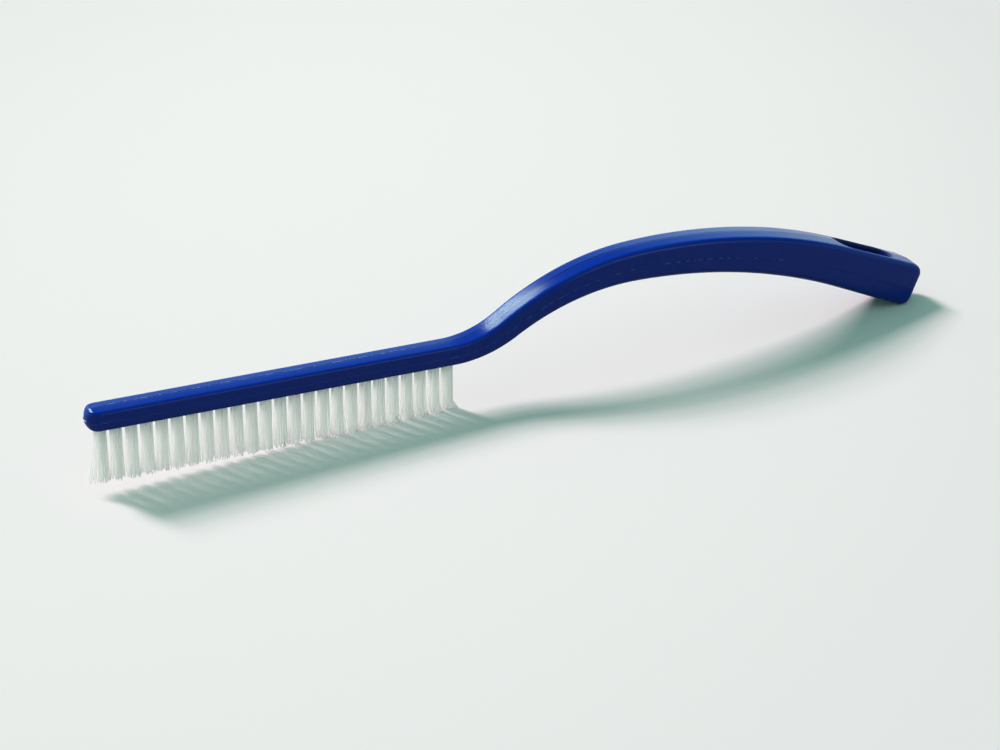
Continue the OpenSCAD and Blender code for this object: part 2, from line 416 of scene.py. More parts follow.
def moulded_blue_polypropylene():
    """Polypropylene dyed through and moulded in a fine-blasted steel tool.

    It has a satin gloss that softens every highlight, a faint grain, and the
    pale lines along the seam of the tool's two halves: scuffs, with a painted
    glint of the seam's ridge.
    """
    material, tree = new_material("moulded_blue_polypropylene")
    place = add_node(tree, "ShaderNodeTexCoord").outputs["Object"]

    # The dye is a little uneven over about 20 mm
    cloud = add_node(
        tree, "ShaderNodeTexNoise",
        {"Vector": place, "Scale": pattern_scale(20.0), "Detail": 2.0},
    )
    dye = add_node(
        tree, "ShaderNodeMix",
        {"Factor": cloud.outputs["Fac"], "A": paint("#0732a1"), "B": paint("#0937ab")},
        data_type="RGBA",
    )

    # Paler paint comes and goes along the side seam, over about 2 mm: scuffs, with a painted glint
    # of the seam's ridge
    broken = add_node(
        tree, "ShaderNodeTexNoise",
        {"Vector": place, "Scale": pattern_scale(2.1), "Detail": 3.0},
    )
    scuffed_and_glinting = add_node(
        tree, "ShaderNodeMapRange",
        {"Value": broken.outputs["Fac"], "From Min": 0.5, "From Max": 0.6},
    )
    seam = add_node(tree, "ShaderNodeAttribute", attribute_name="seam_wear")
    seam_wear = add_node(
        tree, "ShaderNodeMath",
        {0: seam.outputs["Fac"], 1: scuffed_and_glinting.outputs["Result"]}, operation="MULTIPLY",
    )
    with_seam = add_node(
        tree, "ShaderNodeMix",
        {"Factor": seam_wear.outputs["Value"], "A": dye.outputs["Result"], "B": paint("#7489c8")},
        data_type="RGBA",
    )

    # The line along the top is painted dark, as the shadow that it holds, and on the
    # head painted glints, about 1 mm long, run beside it
    line = add_node(tree, "ShaderNodeAttribute", attribute_name="top_line")
    with_line = add_node(
        tree, "ShaderNodeMix",
        {"Factor": line.outputs["Fac"], "A": with_seam.outputs["Result"], "B": paint("#06134c")},
        data_type="RGBA",
    )
    specks = add_node(
        tree, "ShaderNodeTexNoise",
        {"Vector": place, "Scale": pattern_scale(1.0), "Detail": 2.0},
    )
    bright = add_node(
        tree, "ShaderNodeMapRange",
        {"Value": specks.outputs["Fac"], "From Min": 0.5, "From Max": 0.57},
    )
    nick_line = add_node(tree, "ShaderNodeAttribute", attribute_name="top_nicks")
    glint_dots = add_node(
        tree, "ShaderNodeMath",
        {0: bright.outputs["Result"], 1: nick_line.outputs["Fac"]}, operation="MULTIPLY",
    )
    with_glint_dots = add_node(
        tree, "ShaderNodeMix",
        {"Factor": glint_dots.outputs[0], "A": with_line.outputs["Result"], "B": paint("#86a4de")},
        data_type="RGBA",
    )

    # The slot and the holes are painted darker, a painted shade in these recesses, and they are a
    # little duller
    cored = add_node(tree, "ShaderNodeAttribute", attribute_name="cored")
    with_recess_shade = add_node(
        tree, "ShaderNodeMix",
        {"Factor": cored.outputs["Fac"], "A": with_glint_dots.outputs["Result"], "B": paint("#0a2070")},
        data_type="RGBA",
    )

    # Grain of the blasted tool, near 0.1 mm on the real one and drawn at 0.6 mm
    grain = add_node(
        tree, "ShaderNodeTexNoise",
        {"Vector": place, "Scale": pattern_scale(0.6), "Detail": 2.0},
    )
    bump = add_node(
        tree, "ShaderNodeBump",
        {"Height": grain.outputs["Fac"], "Strength": 0.17, "Distance": 0.06 * MM},
    )
    rough = add_node(
        tree, "ShaderNodeMapRange",
        {"Value": cloud.outputs["Fac"], "To Min": 0.17, "To Max": 0.22},
    )
    dulled = add_node(
        tree, "ShaderNodeMath",
        {0: cored.outputs["Fac"], 1: 0.2, 2: rough.outputs["Result"]}, operation="MULTIPLY_ADD",
    )
    shader = add_node(
        tree, "ShaderNodeBsdfPrincipled",
        {"Base Color": with_recess_shade.outputs["Result"], "Roughness": dulled.outputs["Value"],
         "Normal": bump.outputs["Normal"], "IOR": 1.49, "Specular IOR Level": 0.12},
    )
    add_node(tree, "ShaderNodeOutputMaterial", {"Surface": shader.outputs["BSDF"]})
    return material


def white_polyester_filament():
    """Extruded polyester monofilament: white, waxy, and lets some light through."""
    material, tree = new_material("white_polyester_filament")
    # Towards the tips the filaments are drawn pure white, a painted glow of the light through them
    along = add_node(tree, "ShaderNodeAttribute", attribute_name="along")
    tip = add_node(
        tree, "ShaderNodeMapRange",
        {"Value": along.outputs["Fac"], "From Min": 0.8, "From Max": 1.0},
    )
    place = add_node(tree, "ShaderNodeTexCoord").outputs["Object"]
    # Whiteness differs a little over about 1 mm, or three filaments
    batch = add_node(
        tree, "ShaderNodeTexNoise",
        {"Vector": place, "Scale": pattern_scale(1.1), "Detail": 1.0},
    )
    body = add_node(
        tree, "ShaderNodeMix",
        {"Factor": batch.outputs["Fac"], "A": paint("#f8fbf8"), "B": paint("#fdfefb")},
        data_type="RGBA",
    )
    colour = add_node(
        tree, "ShaderNodeMix",
        {"Factor": tip.outputs["Result"], "A": body.outputs["Result"], "B": paint("#ffffff")},
        data_type="RGBA",
    )
    shader = add_node(
        tree, "ShaderNodeBsdfPrincipled",
        {"Base Color": colour.outputs["Result"], "Roughness": 0.42, "IOR": 1.57,
         "Subsurface Weight": 1.0, "Subsurface Radius": (1.0, 1.0, 0.95),
         "Subsurface Scale": 1.5 * MM, "Sheen Weight": 0.6, "Sheen Roughness": 0.35,
         "Sheen Tint": paint("#f4fff8")},
    )
    # A clear filament casts only a faint shadow, so a tuft glows with light from behind
    light_let_through = 0.72
    ray = add_node(tree, "ShaderNodeLightPath").outputs
    passed = add_node(
        tree, "ShaderNodeMath", {0: ray["Is Shadow Ray"], 1: light_let_through},
        operation="MULTIPLY",
    )
    clear = add_node(tree, "ShaderNodeBsdfTransparent")
    surface = add_node(
        tree, "ShaderNodeMixShader",
        {0: passed.outputs[0], 1: shader.outputs["BSDF"], 2: clear.outputs["BSDF"]},
    )
    add_node(tree, "ShaderNodeOutputMaterial", {"Surface": surface.outputs["Shader"]})
    return material


def drawn_steel_wire():
    """Flat steel wire, drawn through a die and tinned: fine lines along its length."""
    material, tree = new_material("drawn_steel_wire")
    place = add_node(tree, "ShaderNodeTexCoord").outputs["Object"]
    # The lines are about 0.1 mm apart and run along the wire, which lies along Y
    stretched = add_node(tree, "ShaderNodeMapping", {"Vector": place, "Scale": (1.0, 0.03, 1.0)})
    lines = add_node(
        tree, "ShaderNodeTexNoise",
        {"Vector": stretched.outputs["Vector"], "Scale": pattern_scale(0.11), "Detail": 2.0},
    )
    colour = add_node(
        tree, "ShaderNodeMix",
        {"Factor": lines.outputs["Fac"], "A": paint("#a9abaf"), "B": paint("#d3d5d8")},
        data_type="RGBA",
    )
    rough = add_node(
        tree, "ShaderNodeMapRange",
        {"Value": lines.outputs["Fac"], "To Min": 0.28, "To Max": 0.45},
    )
    shader = add_node(
        tree, "ShaderNodeBsdfPrincipled",
        {"Base Color": colour.outputs["Result"], "Roughness": rough.outputs["Result"],
         "Metallic": 1.0},
    )
    add_node(tree, "ShaderNodeOutputMaterial", {"Surface": shader.outputs["BSDF"]})
    return material


def matt_white_table():
    """Pale painted table: matt, with no pattern of its own.

    It is drawn a little dimmer away from an oval pool of light round the brush.
    """
    pool_middle = (0.01, 0.26, 0.0)
    pool_turn = (0.0, 0.0, math.radians(58))
    pool_size = (1.57, 0.94, 1.0)
    # Squared distance, in pool sizes, at which the table is dimmest
    pool_end = 0.14
    material, tree = new_material("matt_white_table")
    place = add_node(tree, "ShaderNodeTexCoord").outputs["Object"]
    from_pool = add_node(
        tree, "ShaderNodeMapping",
        {"Vector": place, "Location": pool_middle, "Rotation": pool_turn, "Scale": pool_size},
        vector_type="TEXTURE",
    ).outputs["Vector"]
    loss = add_node(
        tree, "ShaderNodeVectorMath", {0: from_pool, 1: from_pool}, operation="DOT_PRODUCT"
    )
    dimmed = add_node(
        tree, "ShaderNodeMapRange", {"Value": loss.outputs["Value"], "From Max": pool_end}
    )
    pool = add_node(
        tree, "ShaderNodeMix",
        {"Factor": dimmed.outputs["Result"], "A": paint("#f6f7f7"), "B": paint("#e8eaeb")},
        data_type="RGBA",
    )
    # The light that the table throws back at the brush is dimmer than its looks
    _, shown = shown_rays(tree)
    colour = add_node(
        tree, "ShaderNodeMix",
        {"Factor": shown, "A": paint("#525656"), "B": pool.outputs["Result"]},
        data_type="RGBA",
    )
    shader = add_node(
        tree, "ShaderNodeBsdfPrincipled",
        {"Base Color": colour.outputs["Result"], "Roughness": 0.6, "Specular IOR Level": 0.0},
    )
    add_node(tree, "ShaderNodeOutputMaterial", {"Surface": shader.outputs["BSDF"]})
    return material


# The handle


def store(mesh, name, values):
    """Keeps one number or one vector for each point of a mesh."""
    if isinstance(values[0], (int, float)):
        layer = mesh.attributes.new(name, "FLOAT", "POINT")
        layer.data.foreach_set("value", values)
    else:
        layer = mesh.attributes.new(name, "FLOAT_VECTOR", "POINT")
        layer.data.foreach_set("vector", [part for vector in values for part in vector])


def section_outline():
    """The handle's section as points that stretch with its sizes.

    Each point is (across, rise, outward): across runs from -1 to 1 between the
    edge centres, rise from 0 to 1, and outward is the way that the edge's radius
    and the marks push the point.
    """
    turns = 7
    seam = [SEAM_RISE - SEAM_FOOT, SEAM_RISE, SEAM_RISE + SEAM_FOOT]
    side = [0.12, 0.25, 0.36] + seam + [0.5, 0.6, 0.8]
    line = [-LINE_FOOT, -LINE_EDGE, LINE_EDGE, LINE_FOOT, GLINT_ROW_ACROSS, 0.18]
    top = [-0.75, -0.5, -0.25] + line + [0.5, 0.75]
    bottom = [-0.75, -0.5, -0.25, 0.5, 0.75]

    def corner(across, rise, start):
        angles = [math.radians(start + 90 * k / turns) for k in range(turns + 1)]
        return [(across, rise, (math.cos(a), math.sin(a), 0.0)) for a in angles]

    outline = corner(1, 0, -90)
    outline += [(1, rise, (1.0, 0.0, 0.0)) for rise in side]
    outline += corner(1, 1, 0)
    outline += [(across, 1, (0.0, 1.0, 0.0)) for across in reversed(top)]
    outline += corner(-1, 1, 90)
    outline += [(-1, rise, (-1.0, 0.0, 0.0)) for rise in reversed(side)]
    outline += corner(-1, 0, 180)
    outline += [(across, 0, (0.0, -1.0, 0.0)) for across in bottom]
    return outline


def outline_mesh():
    """The section's outline as a closed loop that carries its stretch values."""
    outline = section_outline()
    mesh = bpy.data.meshes.new("handle_section")
    # The loop needs some size of its own, or the sweep can't tell its points apart
    points = [(across + out[0], (2 * rise - 1) + out[1], 0.0) for across, rise, out in outline]
    edges = [(i, (i + 1) % len(points)) for i in range(len(points))]
    mesh.from_pydata(points, edges, [])
    across = [point[0] for point in outline]
    rises = [point[1] for point in outline]
    from_seam = [abs(rise - SEAM_RISE) for rise in rises]
    store(mesh, "across", across)
    store(mesh, "rise", rises)
    store(mesh, "outward", [point[2] for point in outline])
    store(mesh, "seam", [float(gap == 0) for gap in from_seam])
    store(mesh, "foot", [float(0 < gap < 1.1 * SEAM_FOOT) for gap in from_seam])
    store(mesh, "top_line", [float(abs(a) <= LINE_EDGE) for a in across])
    store(mesh, "nick_line", [float(a == GLINT_ROW_ACROSS) for a in across])
    store(mesh, "crown", [rise * (1.0 - abs(a)) for a, rise in zip(across, rises)])
    return mesh


def run_values(run):
    """What every point of a section is given, at a distance from the nose."""
    x, z, heading = centre_line(run)
    tilted = heading - REST_TILT
    half, top, bottom, edge = section_sizes(run)
    nose = fade(run, NOSE_MARKS)
    forwards = fade(run, NOSE_TIP)
    scuffed_and_glinting = min(max(fade(run, SCUFFS_AND_GLINTS_FRONT), HEAD_WEAR_AND_GLINT), fade(run, SCUFFS_AND_GLINTS_BACK))
    return {
        "centre": at_rest(x, 0.0, z),
        "up_way": (-math.sin(tilted), 0.0, math.cos(tilted)),
        # At the nose the seam stands out forwards as well as sideways
        "forward_way": (-forwards * math.cos(tilted), 0.0, -forwards * math.sin(tilted)),
        "reach": half - edge,
        "edge": edge,
        "low": bottom + edge,
        "high": top - edge,
        "slope": between(run, SLOPES),
        "line_share": min(fade(run, LINE_FRONT), fade(run, LINE_BACK)),
        "nick_share": fade(run, GLINT_ROW_BACK),
        "seam_share": 1.0 + NOSE_SEAM * nose,
        "foot_share": NOSE_FOOT * nose,
        "wear_share": max(scuffed_and_glinting, NOSE_WEAR_AND_GLINT * nose),
    }


def run_mesh():
    """The centre line as a chain of points that carry the section's sizes."""
    points = [run_values(run) for run in handle_runs()]
    mesh = bpy.data.meshes.new("handle_run")
    links = [(i, i + 1) for i in range(len(points) - 1)]
    mesh.from_pydata([point["centre"] for point in points], links, [])
    for name in points[0]:
        store(mesh, name, [point[name] for point in points])
    return mesh


def roof_height(run, y):
    """How far the roofed top stands above its edges at a distance from the middle."""
    half, _, _, edge = section_sizes(run)
    return max(half - edge - abs(y), 0.0) * between(run, SLOPES)


def slot_plug():
    """What the tool's core leaves open: the hang slot, with its rims rounded."""
    turns = 20
    rim_steps = 6
    overshoot = 2.0
    run = HANDLE_RUN - SLOT_FROM_END
    x, z, heading = centre_line(run)
    centre = at_rest(x, 0.0, z)
    tilted = heading - REST_TILT
    along = Vector((math.cos(tilted), 0.0, math.sin(tilted)))
    up = Vector((-math.sin(tilted), 0.0, math.cos(tilted)))

    # The slot seen from above: two half circles, each (middle, (outward x, y))
    straight = (SLOT_LENGTH - SLOT_WIDTH) / 2
    outline = []
    for side, start in ((1, -90), (-1, 90)):
        angles = [math.radians(start + 180 * k / turns) for k in range(turns + 1)]
        outline += [(side * straight, (math.cos(a), math.sin(a))) for a in angles]

    # Rings of one mouth, each (depth, flare), from outside the handle inwards
    angles = [math.radians(90 * k / rim_steps) for k in range(rim_steps, -1, -1)]
    mouth = [(-overshoot, SLOT_RIM)]
    mouth += [(SLOT_RIM * (1 - math.sin(a)), SLOT_RIM * (1 - math.cos(a))) for a in angles]
    rings = [(-1, depth, flare) for depth, flare in mouth]
    rings += [(1, depth, flare) for depth, flare in reversed(mouth)]

    points = []
    for face, depth, flare in rings:
        for middle, (out_x, out_y) in outline:
            px = middle + (SLOT_WIDTH / 2 + flare) * out_x
            py = (SLOT_WIDTH / 2 + flare) * out_y
            surface = between(run + px, BELOW)
            if face > 0:
                surface = between(run + px, ABOVE) + roof_height(run + px, py)
            height = face * (surface - depth)
            points.append(centre + along * px + Vector((0, py, 0)) + up * height)
    count = len(outline)
    faces = []
    for ring in range(len(rings) - 1):
        for k in range(count):
            a, b = ring * count + k, ring * count + (k + 1) % count
            faces.append((a, b, b + count, a + count))
    faces.append(tuple(reversed(range(count))))
    faces.append(tuple((len(rings) - 1) * count + k for k in range(count)))
    mesh = bpy.data.meshes.new("hang_slot_plug")
    mesh.from_pydata(points, [], faces)
    return mesh


def handle_tree():
    """Sweeps the stretched section along the run, then opens slot and holes."""
    tree, inside, outside = new_tree(
        "handle_sweep",
        [("Section", "Object"), ("Slot plug", "Object"), ("Seam height", "Float"),
         ("Line depth", "Float"), ("Tufts", "Int"), ("Tuft pitch", "Float"),
         ("Hole width", "Float"), ("Hole depth", "Float"), ("First hole", "Vector"),
         ("Tilt", "Vector"), ("Plastic", "Material")],
    )
    value = inside.outputs
    vectors = ("centre", "up_way", "forward_way", "outward")
    numbers = (
        "reach", "edge", "low", "high", "slope", "line_share", "nick_share", "seam_share",
        "foot_share", "wear_share", "across", "rise", "seam", "foot", "top_line",
        "nick_line", "crown",
    )
    attribute = {
        name: add_node(
            tree, "GeometryNodeInputNamedAttribute", {"Name": name}, data_type=kind
        ).outputs["Attribute"]
        for kind, names in (("FLOAT_VECTOR", vectors), ("FLOAT", numbers))
        for name in names
    }
    run = add_node(tree, "GeometryNodeMeshToCurve", {"Mesh": value["Geometry"]})
    section = add_node(tree, "GeometryNodeObjectInfo", {"Object": value["Section"]})
    loop = add_node(tree, "GeometryNodeMeshToCurve", {"Mesh": section.outputs["Geometry"]})
    tube = add_node(
        tree, "GeometryNodeCurveToMesh",
        {"Curve": run.outputs["Curve"], "Profile Curve": loop.outputs["Curve"],
         "Fill Caps": True},
    )

    # How far the mould's marks stand out of the surface or sink into it
    line = add_node(
        tree, "ShaderNodeMath", {0: attribute["top_line"], 1: attribute["line_share"]},
        operation="MULTIPLY",
    )
    line_cut = add_node(
        tree, "ShaderNodeMath", {0: line.outputs[0], 1: value["Line depth"]},
        operation="MULTIPLY",
    )
    seam = add_node(
        tree, "ShaderNodeMath", {0: attribute["seam"], 1: attribute["seam_share"]},
        operation="MULTIPLY",
    )
    seam_whole = add_node(
        tree, "ShaderNodeMath",
        {0: attribute["foot"], 1: attribute["foot_share"], 2: seam.outputs[0]},
        operation="MULTIPLY_ADD",
    )
    seam_lift = add_node(
        tree, "ShaderNodeMath", {0: seam_whole.outputs[0], 1: value["Seam height"]},
        operation="MULTIPLY",
    )
    # Paler paint along the seam: scuffs, and a painted glint of its ridge
    seam_wear = add_node(
        tree, "ShaderNodeMath", {0: attribute["seam"], 1: attribute["wear_share"]},
        operation="MULTIPLY",
    )
    # Each half of the mould leaves its half of the top sloping a little outwards
    fall = add_node(
        tree, "ShaderNodeMath", {0: attribute["reach"], 1: attribute["slope"]},
        operation="MULTIPLY",
    )
    crown = add_node(
        tree, "ShaderNodeMath",
        {0: attribute["crown"], 1: fall.outputs[0], 2: seam_lift.outputs[0]},
        operation="MULTIPLY_ADD",
    )
    relief = add_node(
        tree, "ShaderNodeMath", {0: crown.outputs[0], 1: line_cut.outputs[0]},
        operation="SUBTRACT",
    )
    bulge = add_node(
        tree, "ShaderNodeMath", {0: attribute["edge"], 1: relief.outputs[0]}, operation="ADD"
    )
    outward = add_node(
        tree, "ShaderNodeVectorMath", {0: attribute["outward"], "Scale": bulge.outputs[0]},
        operation="SCALE",
    )
    outward_parts = add_node(tree, "ShaderNodeSeparateXYZ", {0: outward.outputs["Vector"]})
    sideways = add_node(
        tree, "ShaderNodeMath",
        {0: attribute["reach"], 1: attribute["across"], 2: outward_parts.outputs["X"]},
        operation="MULTIPLY_ADD",
    )
    level = add_node(
        tree, "ShaderNodeMix",
        {"Factor": attribute["rise"], "A": attribute["low"], "B": attribute["high"]},
        clamp_factor=False,
    )
    height = add_node(
        tree, "ShaderNodeMath", {0: level.outputs["Result"], 1: outward_parts.outputs["Y"]},
        operation="ADD",
    )
    upwards = add_node(
        tree, "ShaderNodeVectorMath", {0: attribute["up_way"], "Scale": height.outputs[0]},
        operation="SCALE",
    )
    side_vector = add_node(tree, "ShaderNodeCombineXYZ", {"Y": sideways.outputs[0]})
    offset = add_node(
        tree, "ShaderNodeVectorMath", {0: upwards.outputs[0], 1: side_vector.outputs[0]},
        operation="ADD",
    )
    forward = add_node(
        tree, "ShaderNodeVectorMath",
        {0: attribute["forward_way"], "Scale": seam_lift.outputs[0]}, operation="SCALE",
    )
    all_offset = add_node(
        tree, "ShaderNodeVectorMath", {0: offset.outputs[0], 1: forward.outputs[0]},
        operation="ADD",
    )
    position = add_node(
        tree, "ShaderNodeVectorMath", {0: attribute["centre"], 1: all_offset.outputs[0]},
        operation="ADD",
    )
    skin = add_node(
        tree, "GeometryNodeSetPosition",
        {"Geometry": tube.outputs["Mesh"], "Position": position.outputs[0]},
    )
    glint_dots = add_node(
        tree, "ShaderNodeMath", {0: attribute["nick_line"], 1: attribute["nick_share"]},
        operation="MULTIPLY",
    )
    marked = skin.outputs["Geometry"]
    for name, mark in (("top_line", line), ("seam_wear", seam_wear), ("top_nicks", glint_dots)):
        marked = add_node(
            tree, "GeometryNodeStoreNamedAttribute",
            {"Geometry": marked, "Name": name, "Value": mark.outputs[0]},
        ).outputs["Geometry"]

    # One drilled hole for each tuft
    step = add_node(tree, "ShaderNodeCombineXYZ", {"X": value["Tuft pitch"]})
    row = add_node(
        tree, "GeometryNodeMeshLine",
        {"Count": value["Tufts"], "Offset": step.outputs["Vector"]},
    )
    half_width = add_node(
        tree, "ShaderNodeMath", {0: value["Hole width"], 1: 0.5}, operation="MULTIPLY"
    )
    double_depth = add_node(
        tree, "ShaderNodeMath", {0: value["Hole depth"], 1: 2.0}, operation="MULTIPLY"
    )
    drill = add_node(
        tree, "GeometryNodeMeshCylinder",
        {"Vertices": HOLE_SIDES, "Radius": half_width.outputs[0], "Depth": double_depth.outputs[0]},
    )
    drills = add_node(
        tree, "GeometryNodeInstanceOnPoints",
        {"Points": row.outputs["Mesh"], "Instance": drill.outputs["Mesh"]},
    )
    drills_solid = add_node(
        tree, "GeometryNodeRealizeInstances", {"Geometry": drills.outputs["Instances"]}
    )
    drills_placed = add_node(
        tree, "GeometryNodeTransform",
        {"Geometry": drills_solid.outputs["Geometry"], "Translation": value["First hole"],
         "Rotation": value["Tilt"]},
    )
    plug = add_node(tree, "GeometryNodeObjectInfo", {"Object": value["Slot plug"]})
    cutters = add_node(tree, "GeometryNodeJoinGeometry", {"Geometry": plug.outputs["Geometry"]})
    tree.links.new(drills_placed.outputs["Geometry"], cutters.inputs["Geometry"])
    # The walls that the cutters leave keep this mark, which the plastic reads as painted shade
    cutters_marked = add_node(
        tree, "GeometryNodeStoreNamedAttribute",
        {"Geometry": cutters.outputs["Geometry"], "Name": "cored", "Value": 1.0}, domain="FACE",
    )
    opened = add_node(
        tree, "GeometryNodeMeshBoolean",
        {"Mesh 1": marked, "Mesh 2": cutters_marked.outputs["Geometry"]},
        operation="DIFFERENCE", solver="EXACT",
    )
    finish_tree(tree, outside, opened.outputs["Mesh"], value["Plastic"], crease=40)
    return tree


def make_handle(plastic):
    """The one-piece handle: head, neck and grip."""
    section = bpy.data.objects.new("handle_section", outline_mesh())
    plug = bpy.data.objects.new("hang_slot_plug", slot_plug())
    for helper in (section, plug):
        bpy.context.scene.collection.objects.link(helper)
    mesh = mesh_from_tree(
        "handle", handle_tree(), run_mesh(),
        {"Section": section, "Slot plug": plug, "Seam height": SEAM_HEIGHT,
         "Line depth": LINE_DEPTH, "Tufts": TUFTS, "Tuft pitch": TUFT_PITCH,
         "Hole width": HOLE_WIDTH, "Hole depth": HOLE_DEPTH,
         "First hole": at_rest(FIRST_TUFT, 0.0, 0.0), "Tilt": (0.0, REST_TILT, 0.0),
         "Plastic": plastic},
    )
    for helper in (section, plug):
        bpy.data.objects.remove(helper)
    return link_piece("handle", mesh)


# The tufts


def tuft_tree():
    """A bundle of filaments that stand in one hole and spread to their tips.

    The bundle's width is taken between the centres of its outermost filaments.
    """
    tree, inside, outside = new_tree(
        "bristle_tuft",
        [("Bundle width", "Float"), ("Filament spacing", "Float"), ("Filament width", "Float"),
         ("Filament sides", "Int"), ("Beads", "Int"), ("Length", "Float"),
         ("Root depth", "Float"), ("Unevenness", "Float"), ("Spread", "Float"),
         ("Straying", "Float"), ("Bend power", "Float"), ("Lean", "Vector"),
         ("Slide", "Float"), ("Seed", "Int"), ("Place", "Vector"), ("Tilt", "Vector"),
         ("Filament", "Material")],
    )
    value = inside.outputs
    radius = add_node(
        tree, "ShaderNodeMath", {0: value["Bundle width"], 1: 0.5}, operation="MULTIPLY"
    )
    disc = add_node(
        tree, "GeometryNodeMeshCircle", {"Vertices": HOLE_SIDES, "Radius": radius.outputs[0]},
        fill_type="NGON",
    )
    # The density asks for more roots than the spacing leaves room for
    roots = add_node(
        tree, "GeometryNodeDistributePointsOnFaces",
        {"Mesh": disc.outputs["Mesh"], "Distance Min": value["Filament spacing"],
         "Density Max": 40.0, "Seed": value["Seed"]},
        distribute_method="POISSON",
    )
    where = add_node(tree, "GeometryNodeInputPosition").outputs["Position"]
    wander = add_node(
        tree, "FunctionNodeRandomValue",
        {"Min": (-1.0, -1.0, 0.0), "Max": (1.0, 1.0, 1.0), "Seed": value["Seed"]},
        data_type="FLOAT_VECTOR",
    ).outputs["Value"]
    marked = roots.outputs["Points"]
    for name, mark in (("root", where), ("wander", wander)):
        marked = add_node(
            tree, "GeometryNodeStoreNamedAttribute",
            {"Geometry": marked, "Name": name, "Value": mark}, data_type="FLOAT_VECTOR",
        ).outputs["Geometry"]
    line = add_node(tree, "GeometryNodeCurvePrimitiveLine", {"End": (0.0, 0.0, -1.0)})
    beaded = add_node(
        tree, "GeometryNodeResampleCurve", {"Curve": line.outputs["Curve"], "Count": value["Beads"]}
    )
    strands = add_node(
        tree, "GeometryNodeInstanceOnPoints",
        {"Points": marked, "Instance": beaded.outputs["Curve"]},
    )
    curves = add_node(
        tree, "GeometryNodeRealizeInstances", {"Geometry": strands.outputs["Instances"]}
    )
    root, drift = (
        add_node(
            tree, "GeometryNodeInputNamedAttribute", {"Name": name}, data_type="FLOAT_VECTOR"
        ).outputs["Attribute"]
        for name in ("root", "wander")
    )
    drift_parts = add_node(tree, "ShaderNodeSeparateXYZ", {0: drift})

    # Height of each bead: from the root in its hole down to the trimmed tip
    share = add_node(tree, "GeometryNodeSplineParameter").outputs["Factor"]
    cut = add_node(
        tree, "ShaderNodeMath",
        {0: drift_parts.outputs["Z"], 1: value["Unevenness"]}, operation="MULTIPLY",
    )
    tip_depth = add_node(
        tree, "ShaderNodeMath", {0: cut.outputs[0], 1: value["Length"]}, operation="SUBTRACT"
    )
    height = add_node(
        tree, "ShaderNodeMix",
        {"Factor": share, "A": value["Root depth"], "B": tip_depth.outputs[0]},
    )
    # Share of the free length, which is 0 inside the hole
    fallen = add_node(
        tree, "ShaderNodeMath", {0: height.outputs["Result"], 1: value["Length"]},
        operation="DIVIDE",
    )
    free = add_node(
        tree, "ShaderNodeMath", {0: fallen.outputs[0], 1: -1.0}, operation="MULTIPLY",
        use_clamp=True,
    )
    bent = add_node(
        tree, "ShaderNodeMath", {0: free.outputs[0], 1: value["Bend power"]}, operation="POWER"
    )
    # Outwards spread, the lean at the ends of the row and each filament's own way
    widen = add_node(
        tree, "ShaderNodeVectorMath", {0: root, "Scale": value["Spread"]}, operation="SCALE"
    )
    outer_share = add_node(
        tree, "ShaderNodeVectorMath", {0: root, 1: value["Lean"]}, operation="DOT_PRODUCT"
    )
    outer_only = add_node(
        tree, "ShaderNodeMath", {0: outer_share.outputs["Value"], 1: 0.0}, operation="MAXIMUM"
    )
    lean = add_node(
        tree, "ShaderNodeVectorMath",
        {0: value["Lean"], "Scale": outer_only.outputs[0]}, operation="SCALE",
    )
    flat_drift = add_node(
        tree, "ShaderNodeCombineXYZ",
        {"X": drift_parts.outputs["X"], "Y": drift_parts.outputs["Y"]},
    )
    strayed = add_node(
        tree, "ShaderNodeVectorMath",
        {0: flat_drift.outputs[0], "Scale": value["Straying"]}, operation="SCALE",
    )
    shift = add_node(
        tree, "ShaderNodeVectorMath", {0: widen.outputs[0], 1: lean.outputs[0]}, operation="ADD"
    )
    shift_all = add_node(
        tree, "ShaderNodeVectorMath", {0: shift.outputs[0], 1: strayed.outputs[0]}, operation="ADD"
    )
    moved = add_node(
        tree, "ShaderNodeVectorMath", {0: shift_all.outputs[0], "Scale": bent.outputs[0]},
        operation="SCALE",
    )
    moved_root = add_node(
        tree, "ShaderNodeVectorMath", {0: root, 1: moved.outputs[0]}, operation="ADD"
    )
    depth_vector = add_node(tree, "ShaderNodeCombineXYZ", {"Z": height.outputs["Result"]})
    bead = add_node(
        tree, "ShaderNodeVectorMath", {0: moved_root.outputs[0], 1: depth_vector.outputs[0]},
        operation="ADD",
    )
    shaped = add_node(
        tree, "GeometryNodeSetPosition",
        {"Geometry": curves.outputs["Geometry"], "Position": bead.outputs[0]},
    )
    with_along = add_node(
        tree, "GeometryNodeStoreNamedAttribute",
        {"Geometry": shaped.outputs["Geometry"], "Name": "along", "Value": free.outputs[0]},
    )
    laid = add_node(
        tree, "GeometryNodeTransform",
        {"Geometry": with_along.outputs["Geometry"], "Translation": value["Place"],
         "Rotation": value["Tilt"]},
    )

